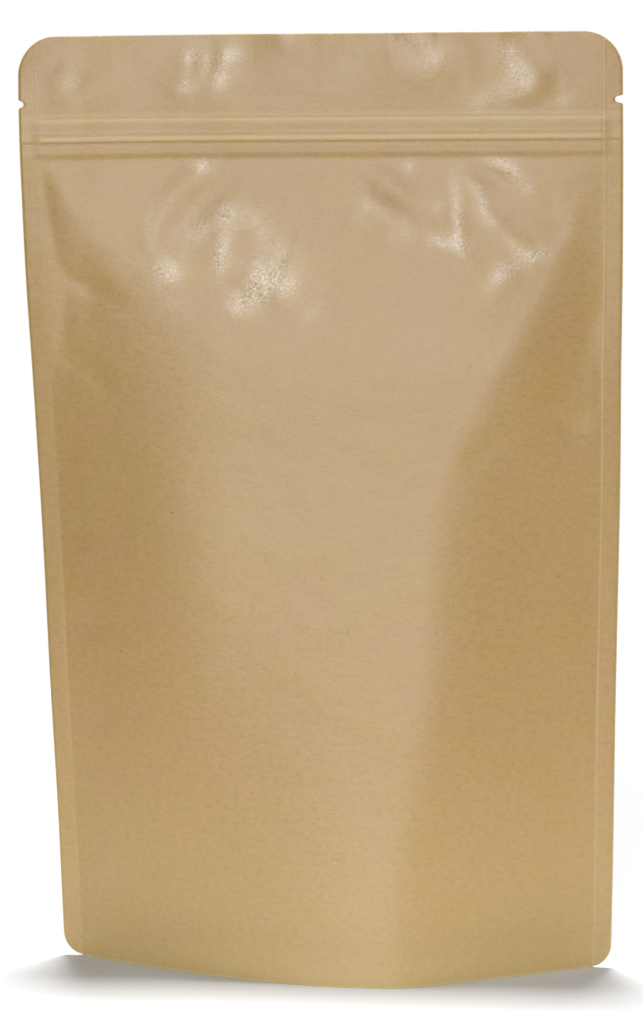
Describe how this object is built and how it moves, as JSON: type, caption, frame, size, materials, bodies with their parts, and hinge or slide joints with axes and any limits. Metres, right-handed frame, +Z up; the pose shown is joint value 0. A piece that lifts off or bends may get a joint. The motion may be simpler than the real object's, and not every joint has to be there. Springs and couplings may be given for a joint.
{
  "type": "kraft stand-up pouch",
  "caption": "Plain brown paper stand-up pouch, shut and filled, with a press-to-close strip, tear notches, heat-sealed sides and a folded-out base.",
  "frame": {"origin": "middle of the footprint's bounding box, on the surface that the pouch stands on", "axes": "+Z up from the foot to the mouth, +X along the pouch's width, -Y out of the front panel"},
  "size_m": [0.18, 0.0496, 0.2861],
  "materials": {
    "brown_paper": "matt brown paper laminate with a faint sheen"
  },
  "bodies": {
    "root": {"pouch": "brown_paper"}
  },
  "joints": []
}
